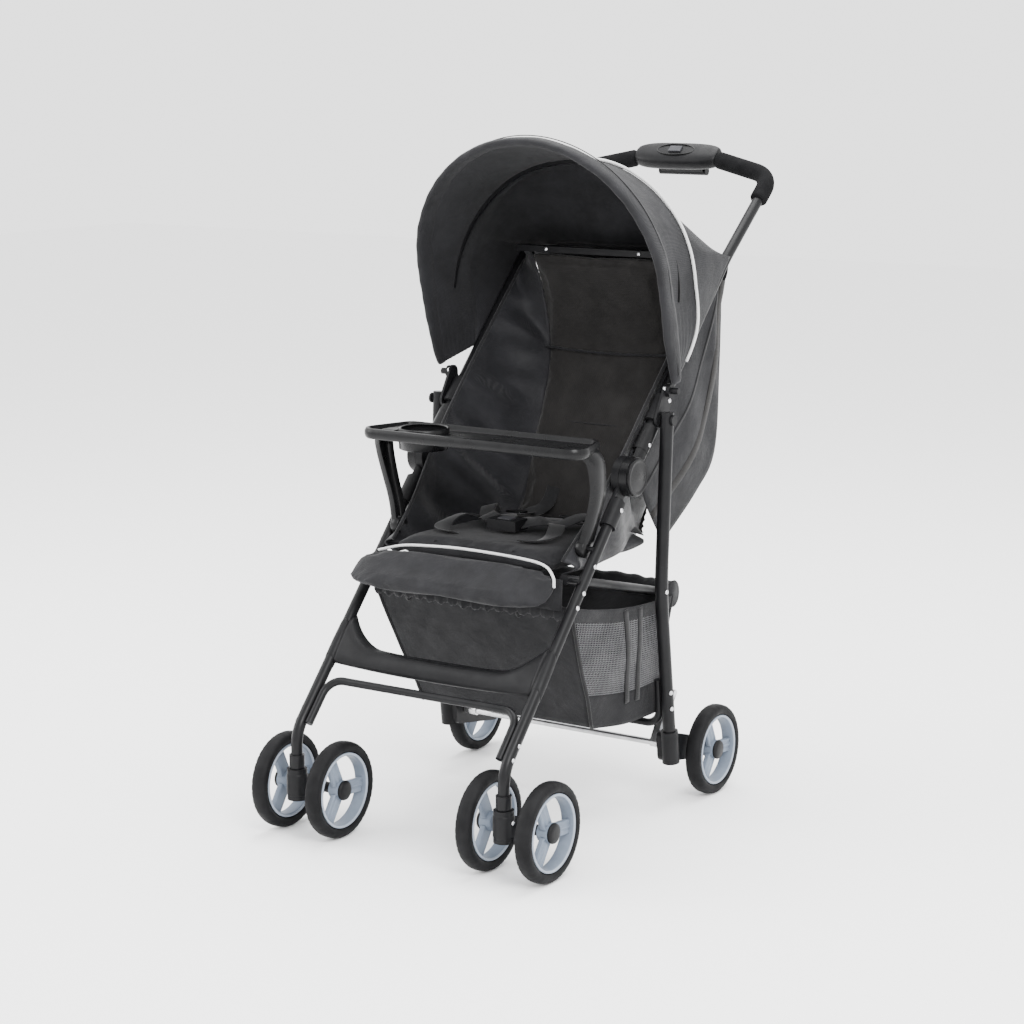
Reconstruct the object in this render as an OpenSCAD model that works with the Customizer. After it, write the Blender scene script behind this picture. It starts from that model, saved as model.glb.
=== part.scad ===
// Lightweight baby stroller with a folding tube frame, twin-wheel swivel casters, a reclining
// sling seat, a snack tray, a padded calf rest, a sun canopy and a shopping basket.
// +Z is up, the front faces -Y. The origin is on the floor, in the middle of the length and width.

/* [Wheels] */
// Radius of the front wheels
wheel_r = 73; // [70:0.5:75]
// Radius of the rear wheels
rear_wheel_r = 71; // [69:0.5:73]
// Width of every tyre
tyre_w = 25; // [22:0.5:28]
// Sideways distance from a caster's stem to each of its wheels
twin_gap = 50; // [48:0.5:53]
// How far each front wheel trails behind its caster's stem
trail = 37; // [33:0.5:39]

/* [Frame] */
// Sideways distance from the middle to the front legs and the handle tubes
leg_x = 184; // [183.5:0.25:184.5]
// Sideways distance from the middle to the rear legs
rear_x = 208; // [207.5:0.25:208.5]
// Sideways distance from the middle to the seat's link tubes
link_x = 164; // [163:0.5:164.5]
// Radius of the front leg and handle tubes
tube_r = 8.5; // [8:0.25:9]
// Radius of the rear leg tubes
rear_tube_r = 10; // [9:0.25:10.25]
// Radius of the seat's link tubes
link_r = 7.5; // [6:0.25:7.75]
// Radius of the front and rear cross tubes
cross_r = 6; // [5:0.25:6.25]

/* [Handle] */
// Height of the middle of the handle
handle_z = 981; // [975:1:987]
// Radius of the foam on the handle
foam_r = 14; // [12:0.5:15]
// Half the length of the console in the middle of the handle
console_half = 74; // [70:1:78]

/* [Canopy] */
// Half the width of the canopy's inner shell
canopy_half = 205; // [204:0.5:206]
// Height of the straight side of the canopy, up from its pivot
canopy_side = 168; // [160:1:175]
// Angle of the front edge of the canopy, up from straight back
canopy_front_angle = 108; // [106:0.5:110]

/* [Seat] */
// Half the width of the seat cushion
seat_half = 145; // [138:0.5:146]
// Thickness of the seat cushion
seat_t = 24; // [18:1:26]
// Half the width of the shopping basket
basket_half = 184; // [176:1:184]
// Half the width of the calf rest
calf_half = 170; // [160:1:174]

/* [Tray] */
// Half the width of the tray's top
tray_half = 196; // [190:1:200]
// Radius of the cup recess in the tray
cup_r = 35; // [32:0.5:37]
// Depth of the cup recess
cup_depth = 22; // [16:1:24]

/* [Hidden] */
$fn = 48;

// side-view points are [distance back, height], from 12 mm ahead of the front axle
y_mid = 372;
stem_y = -25;
front_axle = [stem_y + trail, wheel_r];
pivot_h = [312, 533];      // main fold hinge
pivot_b = [382, 611];      // top of the rear leg
pivot_f = [174, 398.5];    // seat link on the front leg
pivot_r = [368, 349.5];    // seat link on the rear leg
pivot_c = [404, 652];      // canopy pivot
pivot_t = [214, 439];      // tray pivot
pivot_k = [153, 410];      // calf rest pivot
pivot_s = [462, 404];      // recline pivot
rear_axle = [512, rear_wheel_r];
rear_wheel_x = 224.5;
rod = [424, 94];           // brake rod
fit = 0.05;                // running clearance
gap = 0.3;                 // clearance between neighbours

leg_a = atan2(pivot_h[1] - 163, pivot_h[0] - stem_y);
handle_knee = [603, 834];
handle_bend = [752, 955];
handle_top = [778, handle_z];
handle_a = atan2(handle_knee[1] - pivot_h[1], handle_knee[0] - pivot_h[0]);
grip_a = 40;

black = [0.06, 0.06, 0.065];
satin = [0.10, 0.10, 0.11];
cloth = [0.09, 0.09, 0.10];
grey = [0.55, 0.60, 0.66];

// move a part into the object's frame
module placed() translate([0, -y_mid, 0]) children();

// a rotation that takes X to u and Y to v
module frame(o, u, v) {
    w = cross(u, v);
    flat = abs(u[2]) > 0.9999;
    rx = flat ? (u[2] < 0 ? atan2(v[0], v[1]) : atan2(-v[0], v[1])) : atan2(v[2], w[2]);
    ry = flat ? (u[2] < 0 ? 90 : -90) : asin(-u[2]);
    rz = flat ? 0 : atan2(u[1], u[0]);
    translate(o) rotate([rx, ry, rz]) children();
}

function unit(v) = v / norm(v);
function side(p, x) = [x, p[0], p[1]];
function turn(a, b, c) = acos(min(1, max(-1, unit(b - a) * unit(c - b))));
function cut(p, b, i) = i <= 0 || i >= len(p) - 1 ? 0 : b[i] * tan(turn(p[i - 1], p[i], p[i + 1]) / 2);

// a round bar from p to q
module bar(p, q, r) {
    d = q - p;
    translate(p) rotate([0, acos(d[2] / norm(d)), atan2(d[1], d[0])]) cylinder(h = norm(d), r = r);
}

// a bent tube through points p, with bend radius b[i] at point i; each bend swells by a hair
swell = 0.1;
lap = 0.4;
module pipe(p, b, r) {
    for (i = [0:len(p) - 2]) {
        d = unit(p[i + 1] - p[i]);
        c0 = cut(p, b, i);
        c1 = cut(p, b, i + 1);
        bar(p[i] + d * (c0 - (c0 > 0 ? lap : 0)), p[i + 1] - d * (c1 - (c1 > 0 ? lap : 0)), r);
    }
    for (i = [1:len(p) - 2]) {
        d = unit(p[i] - p[i - 1]);
        c = cross(unit(cross(d, p[i + 1] - p[i])), d);
        frame(p[i] - d * cut(p, b, i) + c * b[i], -c, d)
            rotate_extrude(angle = turn(p[i - 1], p[i], p[i + 1])) translate([b[i], 0]) circle(r + swell);
    }
}

// a plate drawn in the side view, between x0 and x1
module plate(x0, x1) translate([x0, 0, 0]) rotate([90, 0, 90]) linear_extrude(x1 - x0) children();

// a round boss along X, from x0 to x1
module boss(p, x0, x1, r) translate([x0, p[0], p[1]]) rotate([0, 90, 0]) cylinder(h = x1 - x0, r = r);

// move along a side-view line from point p at angle a
function along(p, a, d) = [p[0] + d * cos(a), p[1] + d * sin(a)];

// a rounded closed outline
module rounded(pts, r) hull() for (p = pts) translate(p) circle(r);

// ---- front frame ----
leg_path = [[leg_x, stem_y, 108.5], [leg_x, stem_y, 163], side(along(pivot_h, leg_a, -42), leg_x)];

module leg_shape() {
    pipe(leg_path, [0, 60, 0], tube_r);
    // stem that the caster swivels on, and the collar above it
    translate([leg_x, stem_y, 70]) cylinder(h = 40, r = 5);
    // pins that the seat link and the tray turn on
    boss(pivot_f, link_x - 9, leg_x, 3);
    boss(pivot_t, leg_x - 19, leg_x, 4);
    difference() {
        translate([leg_x, stem_y, 108.5]) cylinder(h = 20, r = 11.5);
        translate([leg_x, stem_y, 110]) cylinder(h = 30, r = tube_r);
    }
}
module front_leg_l() color(black) placed() mirror([1, 0, 0]) leg_shape();
module front_leg_r() color(black) placed() leg_shape();

module front_crossbar() color(black) placed() {
    x = leg_x - tube_r - cross_r - 0.15;
    pipe([[x, -14, 175], [x, 38, 232], [-x, 38, 232], [-x, -14, 175]], [0, 26, 26, 0], cross_r);
}

module footrest_clamp() {
    a = along([stem_y, 163], leg_a, 124);
    b = along([stem_y, 163], leg_a, 182);
    bar(side(a, leg_x), side(b, leg_x), 12.5);
}
module footrest_bar() color(satin) placed() difference() {
    union() {
        for (s = [0, 1]) mirror([s, 0, 0]) footrest_clamp();
        plate(-leg_x, leg_x) polygon([[57, 238], [73, 234], [86, 262], [70, 267]]);
    }
    for (s = [0, 1]) mirror([s, 0, 0])
        bar(side([stem_y, 163], leg_x), side(along(pivot_h, leg_a, -42), leg_x), tube_r);
}

// half of the main hinge: a disc and neck, with a sleeve on the tube that leaves it at angle a
module hinge_half(a, x0, x1) difference() {
    union() {
        boss(pivot_h, x0, x1, 30);
        intersection() {
            bar(side(along(pivot_h, a, 20), leg_x), side(along(pivot_h, a, 50), leg_x), 11.8);
            translate([x0 + 0.2, 0, 0]) cube([x1 - x0 - 0.4, 1000, 1000]);
        }
        bar(side(along(pivot_h, a, 46), leg_x), side(along(pivot_h, a, 90), leg_x), 12.5);
    }
    bar(side(along(pivot_h, a, 42), leg_x), side(along(pivot_h, a, 100), leg_x), tube_r);
}
module hinge_base_shape() {
    hinge_half(leg_a + 180, leg_x - 13, leg_x - gap);
    boss(pivot_h, leg_x - 5, leg_x + 12, 6);
}
module hinge_base_l() color(satin) placed() mirror([1, 0, 0]) hinge_base_shape();
module hinge_base_r() color(satin) placed() hinge_base_shape();

// ---- handle frame ----
module hinge_cap_shape() difference() {
    union() {
        hinge_half(handle_a, leg_x + gap, leg_x + 13);
        boss(pivot_h, leg_x + 12, leg_x + 15.5, 28);
    }
    boss(pivot_h, leg_x, leg_x + 12.5, 6 + fit);
}
module hinge_cap_l() color(satin) placed() mirror([1, 0, 0]) hinge_cap_shape();
module hinge_cap_r() color(satin) placed() hinge_cap_shape();

handle_end = along(pivot_h, handle_a, 42);
handle_path = [side(handle_end, leg_x), side(handle_knee, leg_x), side(handle_bend, leg_x),
    side(handle_top, 62), side(handle_top, -62), side(handle_bend, -leg_x),
    side(handle_knee, -leg_x), side(handle_end, -leg_x)];
handle_radii = [0, 220, 42, 60, 60, 42, 220, 0];
module handle_tube() color(black) placed() pipe(handle_path, handle_radii, tube_r);

// the foam follows the handle's bend, up to the console
module grip_shape() {
    s = side(handle_bend, leg_x);
    low = s + unit(side(handle_knee, leg_x) - s) * 56;
    top = side(handle_top, 62);
    dir = unit(top - s);
    far = s + dir * ((leg_x - console_half - 3) / -dir[0]);
    difference() {
        pipe([low, s, far], [0, 42, 0], foam_r);
        pipe([side(handle_knee, leg_x), s, top], [0, 42, 0], tube_r);
    }
}
module grip_l() color(black) placed() mirror([1, 0, 0]) grip_shape();
module grip_r() color(black) placed() grip_shape();

// the console's own frame: Y out along the handle, Z up from its top face
module on_console() translate([0, handle_top[0], handle_top[1]]) rotate([grip_a, 0, 0]) children();
module oval(half, r, h) hull() for (s = [-1, 1]) translate([s * (half - r), 0, 0]) cylinder(h = h, r = r);
module console() color(satin) placed() difference() {
    on_console() {
        translate([0, 0, -14]) oval(console_half, 25, 26);
        translate([0, 0, 12]) oval(console_half - 12, 20, 5);
    }
    on_console() {
        translate([0, 0, 14.5]) oval(34, 12, 10);
        translate([0, -1, -20]) cube([84, 16, 28], center = true);
    }
    pipe(handle_path, handle_radii, tube_r);
}
module fold_lever() color(satin) placed() on_console() {
    translate([0, -1, -22]) cube([80, 13, 10], center = true);
    translate([0, -1, -29]) rotate([0, 90, 0]) cylinder(h = 88, r = 7, center = true);
}
module safety_slide() color(grey) placed() on_console()
    translate([0, 0, 17]) cube([22, 12, 4.4], center = true);

// bracket that joins the handle tube to the rear leg's top and carries the canopy
module bracket_shape() {
    x0 = leg_x + tube_r + 1;
    plate(x0, x0 + 4) hull() {
        translate(pivot_b) circle(13);
        translate(pivot_c) circle(11);
        translate(along(pivot_b, handle_a, 34)) circle(11);
    }
    boss(pivot_b, x0 + 2, rear_x + rear_tube_r + 4, 4);
    boss(pivot_b, rear_x + rear_tube_r + 1, rear_x + rear_tube_r + 4, 8);
    boss(pivot_c, x0 + 3, canopy_half - 1.2, 10);
    boss(pivot_c, canopy_half - 2, canopy_half + 11, 5);
    difference() {
        bar(side(along(pivot_b, handle_a, -6), leg_x), side(along(pivot_b, handle_a, 40), leg_x), 11.5);
        pipe(handle_path, handle_radii, tube_r);
    }
}
module hub_bracket_l() color(satin) placed() mirror([1, 0, 0]) bracket_shape();
module hub_bracket_r() color(satin) placed() bracket_shape();

// ---- canopy ----
// an arch: straight sides of height h with a half circle above them, grown outwards by g
module arch(h, g) {
    translate([0, -canopy_half - g]) square([h, 2 * (canopy_half + g)]);
    intersection() {
        translate([h, 0]) circle(canopy_half + g, $fn = 96);
        translate([h, -400]) square([400, 800]);
    }
}
// the arch as a wall between g0 and g1, swept about the canopy pivot between two angles
module canopy_shell(h, g0, g1, a0, a1) translate([0, pivot_c[0], pivot_c[1]])
    rotate([a0, 0, 0]) rotate([0, 90, 0]) rotate([0, 0, 90])
        rotate_extrude(angle = a1 - a0, $fn = 96) difference() {
            arch(h, g1);
            arch(h, g0);
            translate([-1, -400]) square([7, 800]);
        }
rim_a = canopy_front_angle - 8;
module canopy_rear() color(cloth) placed() canopy_shell(canopy_side - 84, 0, 1.6, 48.5, 66);
module canopy_mid() color(cloth) placed() canopy_shell(canopy_side - 36, 2.2, 3.8, 65, 84);
module canopy_front() color(cloth) placed() canopy_shell(canopy_side, 4.4, 6, 83, rim_a);
module canopy_rim() color(cloth) placed() canopy_shell(canopy_side, 4.4, 16, rim_a + 0.1, canopy_front_angle);
// the stay across the back of the canopy, where its rear panel and the seat's back hang
module rear_stay() color(satin) placed() plate(-142, 142)
    polygon([[503, 839.5], [521, 839.5], [519, 849], [505, 849]]);
// the rib under the middle of the canopy
module mid_bow() color(satin) placed() intersection() {
    canopy_shell(canopy_side - 36, -4, 1.8, 82.4, 83.6);
    translate([-400, 0, pivot_c[1] + canopy_side - 36]) cube([800, 900, 600]);
}

// ---- rear frame ----
rear_path = [[rear_x, 384, 622], [rear_x, 371, 350], [rear_x, 407, 84]];
module rear_leg_shape() difference() {
    pipe(rear_path, [0, 420, 0], rear_tube_r);
    boss(pivot_b, rear_x - 20, rear_x + 20, 4 + fit);
}
module rear_leg_l() color(black) placed() mirror([1, 0, 0]) rear_leg_shape();
module rear_leg_r() color(black) placed() rear_leg_shape();

module rear_crossbar() color(black) placed() {
    x = rear_x - rear_tube_r - cross_r - 0.1;
    pipe([[x, 393, 205], [x, 401, 132], [-x, 401, 132], [-x, 393, 205]], [0, 24, 24, 0], cross_r);
}

module rear_housing_shape() difference() {
    union() {
        bar([rear_x, 408.5, 72], [rear_x, 402, 124], 13.5);
        plate(188, 206) hull() {
            translate([rear_axle[0], rear_axle[1]]) circle(16);
            translate([412, 84]) circle(12);
            translate([405, 112]) circle(8);
        }
        boss(rear_axle, 200, 211, 11);
        boss(rear_axle, 200, rear_wheel_x + 12.6, 4);
        boss(rod, 180, 190, 3);
    }
    pipe(rear_path, [0, 420, 0], rear_tube_r);
}
module rear_housing_l() color(satin) placed() mirror([1, 0, 0]) rear_housing_shape();
module rear_housing_r() color(satin) placed() rear_housing_shape();

module brake_rod() color(grey) placed() difference() {
    union() {
        boss(rod, -187.5, 187.5, 5);
        for (x = [-176, 164]) plate(x, x + 12) hull() {
            translate(rod) circle(7);
            translate([462, 158]) circle(5);
        }
        for (x = [-182, 158]) plate(x, x + 24) hull() {
            translate([458, 152]) circle(3);
            translate([466, 166]) circle(5);
        }
    }
    for (s = [0, 1]) mirror([s, 0, 0]) boss(rod, 179, 190, 3 + fit);
}

// ---- seat ----
module seat_tube() color(black) placed() difference() {
    pipe([[link_x, 163, 401.3], [link_x, 461, 326], [-link_x, 461, 326], [-link_x, 163, 401.3]],
        [0, 30, 30, 0], link_r);
    for (s = [0, 1]) mirror([s, 0, 0]) boss(pivot_f, link_x - 10, link_x + 10, 3 + fit);
}
module seat_cushion() color(cloth) placed() plate(-seat_half, seat_half)
    polygon([[161, 404], [161, 404 + seat_t], [300, 401 + seat_t], [450, 392 + seat_t],
        [450, 392], [300, 397]]);

module seat_side_shape() plate(seat_half + 1.5, seat_half + 7.5)
    polygon([[196, 399], [176, 420], [300, 545], [560, 806], [600, 800], [600, 520], [540, 470], [455, 386]]);
module seat_side_l() color(cloth) placed() mirror([1, 0, 0]) seat_side_shape();
module seat_side_r() color(cloth) placed() seat_side_shape();

module backrest() color(cloth) placed() {
    boss(pivot_s, -seat_half + 4, seat_half - 4, 6);
    plate(-seat_half + 1, seat_half - 1) polygon([[458, 407], [467, 404], [520, 500], [576, 680], [524, 838],
        [504, 838], [552, 680], [500, 520]]);
}
module back_cover() color(cloth) placed() plate(-seat_half + 1, seat_half - 1)
    polygon([[536, 486], [606, 524], [618, 780], [624, 780], [612, 519], [540, 480]]);
module shoulder_straps() color(black) placed() for (s = [-1, 1])
    plate(s * 55 - 14, s * 55 + 14)
        polygon([[497, 521], [548, 681], [526, 762], [523.5, 762], [545, 682], [494.5, 522]]);

module crotch_strap() color(black) placed() plate(-14, 14)
    polygon([[262, 427], [265, 427], [262, 441], [259, 441]]);
module buckle() color(satin) placed() difference() {
    translate([-26, 246, 442]) cube([52, 34, 16]);
    translate([-12, 254, 450]) cube([24, 18, 10]);
}
module buckle_button() color(grey) placed() translate([-11.4, 254.6, 452.5]) cube([22.8, 16.8, 7]);

// open-topped shopping basket: 3 mm cloth walls
module basket_side(g) polygon([[166 + g, 352], [262 + g, 152 + g], [404 - g, 152 + g], [426 - g, 318]]);
module basket() color(cloth) placed() difference() {
    plate(-basket_half, basket_half) basket_side(0);
    plate(3 - basket_half, basket_half - 3) hull() {
        basket_side(3);
        translate([172, 360]) square([240, 10]);
    }
}

module calf_rest() color(cloth) placed() {
    boss(pivot_k, -calf_half + 5, calf_half - 5, 5);
    plate(-calf_half, calf_half)
        polygon([[146, 424], [151, 412], [150, 404], [92, 362], [74, 372], [72, 384]]);
}

// ---- tray ----
module tray_outline(g) hull() for (s = [-1, 1]) {
    translate([s * (tray_half - 26), 176]) circle(26 + g);
    translate([s * (tray_half - 40), 234]) circle(22 + g);
}
cup = [-112, 205];
module tray() color(satin) placed() difference() {
    union() {
        translate([0, 0, 580]) linear_extrude(14) tray_outline(0);
        translate([cup[0], cup[1], 594 - cup_depth - 4]) cylinder(h = cup_depth, r = cup_r + 4);
        for (s = [0, 1]) mirror([s, 0, 0]) {
            plate(leg_x - tube_r - 16, leg_x - tube_r - 2)
                polygon([[160, 581], [250, 581], [238, 540], [227, 439], [201, 439], [206, 520], [190, 560]]);
            boss(pivot_t, leg_x - tube_r - 16, leg_x - tube_r - 0.5, 13);
        }
    }
    difference() {
        translate([0, 0, 586]) linear_extrude(10) tray_outline(-5);
        translate([cup[0], cup[1], 580]) cylinder(h = 12, r = cup_r + 3);
    }
    translate([cup[0], cup[1], 594 - cup_depth]) cylinder(h = cup_depth + 5, r = cup_r);
    for (s = [0, 1]) mirror([s, 0, 0]) boss(pivot_t, leg_x - tube_r - 20, leg_x - tube_r, 4 + fit);
}

// ---- casters and wheels ----
module caster_shape() difference() {
    union() {
        translate([leg_x, stem_y, 60]) cylinder(h = 47.5, r = 15);
        translate([leg_x - 16, stem_y, wheel_r - 14]) cube([32, trail, 28]);
        boss(front_axle, leg_x - 16, leg_x + 16, 14);
        boss(front_axle, leg_x - twin_gap - 12.6, leg_x + twin_gap + 12.6, 4);
        for (s = [-1, 1]) boss(front_axle, leg_x + s * 26.5 - 11, leg_x + s * 26.5 + 11, 8);
    }
    translate([leg_x, stem_y, 66]) cylinder(h = 60, r = 5 + fit);
}
module caster_l() color(satin) placed() mirror([1, 0, 0]) caster_shape();
module caster_r() color(satin) placed() caster_shape();

// a tyre, drawn about the Z axis
module tyre_shape(r) rotate_extrude() difference() {
    translate([r - 16, -tyre_w / 2]) square([16, tyre_w]);
    for (s = [0, 1]) mirror([0, s]) {
        polygon([[r + 1, tyre_w / 2 + 1], [r - 8, tyre_w / 2 + 1], [r - 3, tyre_w / 2 - 3.5],
            [r + 1, tyre_w / 2 - 9]]);
        polygon([[r - 17, tyre_w / 2 + 1], [r - 10, tyre_w / 2 + 1], [r - 17, tyre_w / 2 - 3]]);
    }
}
// a three-spoked rim with its hub cap on +Z
module rim_shape(r) difference() {
    union() {
        rotate_extrude() translate([r - 21, -10]) square([5, 20]);
        for (a = [90:120:330]) rotate(a) translate([0, -11, -4]) cube([r - 19, 22, 9]);
        translate([0, 0, -12]) cylinder(h = 26, r = 15);
    }
    translate([0, 0, -20]) cylinder(h = 32.8, r = 4 + fit);
}
// put a wheel on its axle, its cap facing outwards (s = 1 right, -1 left)
module on_axle(x, p, s) translate([x, p[0], p[1]]) rotate([0, 90 * s, 0]) children();
module tyre_fl_out() color(black) placed() on_axle(-leg_x - twin_gap, front_axle, -1) tyre_shape(wheel_r);
module rim_fl_out() color(grey) placed() on_axle(-leg_x - twin_gap, front_axle, -1) rim_shape(wheel_r);
module tyre_fl_in() color(black) placed() on_axle(-leg_x + twin_gap, front_axle, 1) tyre_shape(wheel_r);
module rim_fl_in() color(grey) placed() on_axle(-leg_x + twin_gap, front_axle, 1) rim_shape(wheel_r);
module tyre_fr_out() color(black) placed() on_axle(leg_x + twin_gap, front_axle, 1) tyre_shape(wheel_r);
module rim_fr_out() color(grey) placed() on_axle(leg_x + twin_gap, front_axle, 1) rim_shape(wheel_r);
module tyre_fr_in() color(black) placed() on_axle(leg_x - twin_gap, front_axle, -1) tyre_shape(wheel_r);
module rim_fr_in() color(grey) placed() on_axle(leg_x - twin_gap, front_axle, -1) rim_shape(wheel_r);
module tyre_rl() color(black) placed() on_axle(-rear_wheel_x, rear_axle, -1) tyre_shape(rear_wheel_r);
module rim_rl() color(grey) placed() on_axle(-rear_wheel_x, rear_axle, -1) rim_shape(rear_wheel_r);
module tyre_rr() color(black) placed() on_axle(rear_wheel_x, rear_axle, 1) tyre_shape(rear_wheel_r);
module rim_rr() color(grey) placed() on_axle(rear_wheel_x, rear_axle, 1) rim_shape(rear_wheel_r);

front_leg_l();
front_leg_r();
front_crossbar();
footrest_bar();
hinge_base_l();
hinge_base_r();
handle_tube();
grip_l();
grip_r();
console();
hinge_cap_l();
hinge_cap_r();
hub_bracket_l();
hub_bracket_r();
canopy_rear();
rear_stay();
fold_lever();
safety_slide();
canopy_mid();
mid_bow();
canopy_front();
canopy_rim();
rear_leg_l();
rear_leg_r();
rear_crossbar();
rear_housing_l();
rear_housing_r();
brake_rod();
seat_tube();
seat_cushion();
seat_side_l();
seat_side_r();
basket();
crotch_strap();
buckle();
buckle_button();
backrest();
back_cover();
shoulder_straps();
calf_rest();
tray();
caster_l();
caster_r();
tyre_fl_out();
rim_fl_out();
tyre_fl_in();
rim_fl_in();
tyre_fr_out();
rim_fr_out();
tyre_fr_in();
rim_fr_in();
tyre_rl();
rim_rl();
tyre_rr();
rim_rr();
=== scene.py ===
import bpy, bmesh, math
import numpy as np
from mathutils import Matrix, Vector, noise


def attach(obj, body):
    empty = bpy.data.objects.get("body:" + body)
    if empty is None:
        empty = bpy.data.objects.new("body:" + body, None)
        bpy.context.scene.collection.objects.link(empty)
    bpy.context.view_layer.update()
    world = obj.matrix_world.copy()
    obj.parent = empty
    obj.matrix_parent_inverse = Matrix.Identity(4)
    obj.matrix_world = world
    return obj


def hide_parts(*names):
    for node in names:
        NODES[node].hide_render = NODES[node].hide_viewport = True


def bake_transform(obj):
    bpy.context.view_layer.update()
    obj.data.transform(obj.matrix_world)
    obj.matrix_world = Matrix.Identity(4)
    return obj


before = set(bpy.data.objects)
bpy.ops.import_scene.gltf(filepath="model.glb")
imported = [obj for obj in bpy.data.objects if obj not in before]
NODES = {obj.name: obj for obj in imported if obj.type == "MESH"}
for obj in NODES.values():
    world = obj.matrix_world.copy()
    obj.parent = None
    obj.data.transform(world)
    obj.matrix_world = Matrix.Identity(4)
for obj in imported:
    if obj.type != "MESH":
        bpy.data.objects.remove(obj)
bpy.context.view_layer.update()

YM = 372.0


def P(x, y, z):
    """Millimetres, y measured back from near the front axle, to metres in the object's frame."""
    return Vector((x / 1000, (y - YM) / 1000, z / 1000))


# ---------------------------------------------------------------- camera
cam = bpy.data.objects.new("camera", bpy.data.cameras.new("camera"))
bpy.context.scene.collection.objects.link(cam)
cam.data.lens = 85.96
cam.data.sensor_width = 36
cam.location = P(2000.5, -2774.4, 1166.1)
cam.rotation_euler = (math.radians(90 - 10.87), 0, math.radians(33.25))
bpy.context.scene.camera = cam


# ---------------------------------------------------------------- materials
class Mat:
    def __init__(self, name, base, rough, metallic=0.0, spec=0.5, sheen=0.0, coat=0.0):
        self.m = bpy.data.materials.new(name)
        self.m.use_nodes = True
        self.t = self.m.node_tree
        self.b = self.t.nodes["Principled BSDF"]
        self.b.inputs["Base Color"].default_value = (*base, 1)
        self.b.inputs["Roughness"].default_value = rough
        self.b.inputs["Metallic"].default_value = metallic
        self.b.inputs["Specular IOR Level"].default_value = spec
        self.b.inputs["Sheen Weight"].default_value = sheen
        self.b.inputs["Sheen Roughness"].default_value = 0.45
        self.b.inputs["Coat Weight"].default_value = coat
        self.b.inputs["Coat Roughness"].default_value = 0.2
        self.m.diffuse_color = (*base, 1)
        self.co = self.t.nodes.new("ShaderNodeTexCoord").outputs["Object"]
        self.normal = None

    def node(self, kind, **k):
        n = self.t.nodes.new("ShaderNode" + kind)
        for a, v in k.items():
            setattr(n, a, v)
        return n

    def noise(self, scale, detail=3.0, rough=0.55, dist=0.0):
        n = self.node("TexNoise")
        n.inputs["Scale"].default_value = scale
        n.inputs["Detail"].default_value = detail
        n.inputs["Roughness"].default_value = rough
        n.inputs["Distortion"].default_value = dist
        self.t.links.new(self.co, n.inputs["Vector"])
        return n.outputs["Fac"]

    def wave(self, pitch, rot):
        mp = self.node("Mapping")
        mp.inputs["Rotation"].default_value = rot
        w = self.node("TexWave", wave_type="BANDS", bands_direction="X", wave_profile="SIN")
        w.inputs["Scale"].default_value = 0.314159 / pitch
        w.inputs["Distortion"].default_value = 0.3
        w.inputs["Detail"].default_value = 1.0
        self.t.links.new(self.co, mp.inputs["Vector"])
        self.t.links.new(mp.outputs["Vector"], w.inputs["Vector"])
        return w.outputs["Fac"]

    def mul(self, a, b):
        n = self.node("Math", operation="MULTIPLY")
        for i, s in enumerate((a, b)):
            self.t.links.new(s, n.inputs[i]) if hasattr(s, "links") else setattr(n.inputs[i],
                "default_value", s)
        return n.outputs[0]

    def bump(self, height, distance, strength=1.0):
        n = self.node("Bump")
        n.inputs["Distance"].default_value = distance
        n.inputs["Strength"].default_value = strength
        self.t.links.new(height, n.inputs["Height"])
        if self.normal is not None:
            self.t.links.new(self.normal, n.inputs["Normal"])
        self.normal = n.outputs["Normal"]
        self.t.links.new(self.normal, self.b.inputs["Normal"])

    def vary(self, fac, socket, lo, hi):
        n = self.node("MapRange")
        n.inputs["From Min"].default_value = 0.3
        n.inputs["From Max"].default_value = 0.7
        n.inputs["To Min"].default_value = lo
        n.inputs["To Max"].default_value = hi
        self.t.links.new(fac, n.inputs["Value"])
        self.t.links.new(n.outputs["Result"], self.b.inputs[socket])

    def tint(self, fac, a, b, lo=0.35, hi=0.65):
        r = self.node("ValToRGB")
        r.color_ramp.elements[0].position = lo
        r.color_ramp.elements[0].color = (*a, 1)
        r.color_ramp.elements[1].position = hi
        r.color_ramp.elements[1].color = (*b, 1)
        self.t.links.new(fac, r.inputs["Fac"])
        self.t.links.new(r.outputs["Color"], self.b.inputs["Base Color"])


def cloth(name, dark, light, pitch=0.0013, wrinkle=0.0016, rough=0.8, sheen=0.25):
    m = Mat(name, dark, rough, spec=0.16, sheen=sheen * 0.45)
    weave = m.mul(m.wave(pitch, (0.5, 0.6, 0.2)), m.wave(pitch, (0.4, -0.7, 1.75)))
    m.bump(m.noise(16, 4, 0.6, 0.8), wrinkle)
    m.bump(m.noise(70, 3), wrinkle * 0.25)
    m.bump(weave, 0.00025, 0.7)
    m.tint(m.noise(22, 4), dark, light)
    m.vary(m.noise(40, 3), "Roughness", rough - 0.1, rough + 0.08)
    return m.m


def plastic(name, dark, light, rough=0.42, grain=0.00005, coat=0.0):
    m = Mat(name, dark, rough, spec=0.13, coat=coat * 0.4)
    m.bump(m.noise(520, 2), grain * 0.5)
    m.bump(m.noise(18, 2), 0.0001)
    m.tint(m.noise(30, 5, 0.7), dark, light)
    m.vary(m.noise(55, 4), "Roughness", rough - 0.07, rough + 0.09)
    return m.m


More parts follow.
